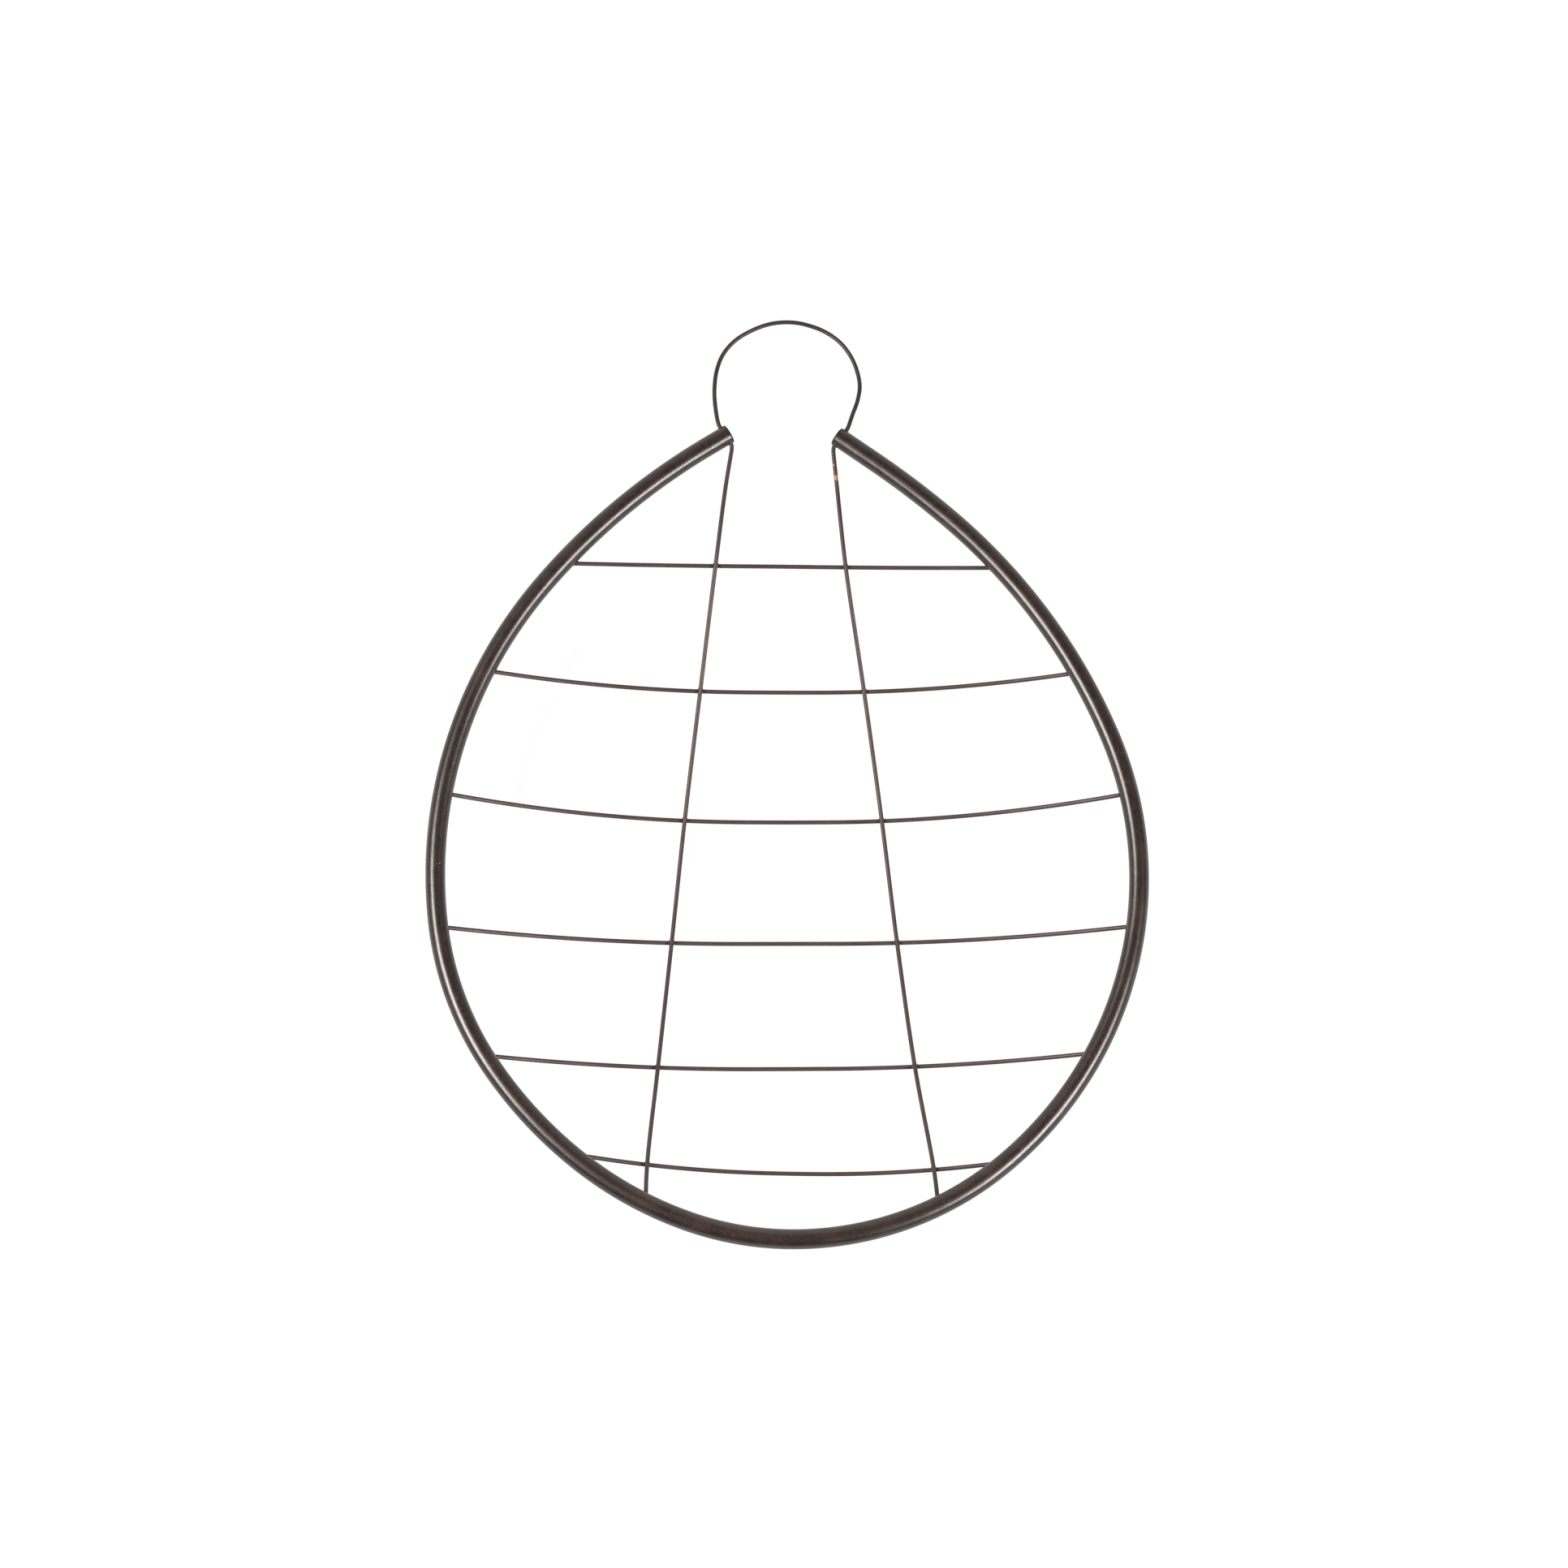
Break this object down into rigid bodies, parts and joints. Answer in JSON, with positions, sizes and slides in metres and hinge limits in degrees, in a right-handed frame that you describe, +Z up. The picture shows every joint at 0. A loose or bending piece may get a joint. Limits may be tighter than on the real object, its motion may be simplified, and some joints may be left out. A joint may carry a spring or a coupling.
{
  "type": "wire-bed litter frame",
  "caption": "Pear-shaped bent-tube litter frame with a dished bed of round wires and a wire loop at its head for carrying or hanging.",
  "frame": {"origin": "centre of the bounding box in X and Y, at the level of the surface that the belly rests on", "axes": "+Y towards the head loop, +Z up out of the bed, +X to the right with the head away from the viewer"},
  "size_m": [0.8072, 1.0786, 0.1054],
  "materials": {
    "painted_tube": "dark brown-black semi-gloss paint, worn and speckled",
    "bare_wire": "brown-grey drawn steel with light rust"
  },
  "bodies": {
    "root": {"rim_tube": "painted_tube", "end_cap_left": "painted_tube", "end_cap_right": "painted_tube", "cross_wire_1": "bare_wire", "cross_wire_2": "bare_wire", "cross_wire_3": "bare_wire", "cross_wire_4": "bare_wire", "cross_wire_5": "bare_wire", "cross_wire_6": "bare_wire", "long_wire_left": "bare_wire", "long_wire_right": "bare_wire", "head_loop": "bare_wire"}
  },
  "joints": []
}
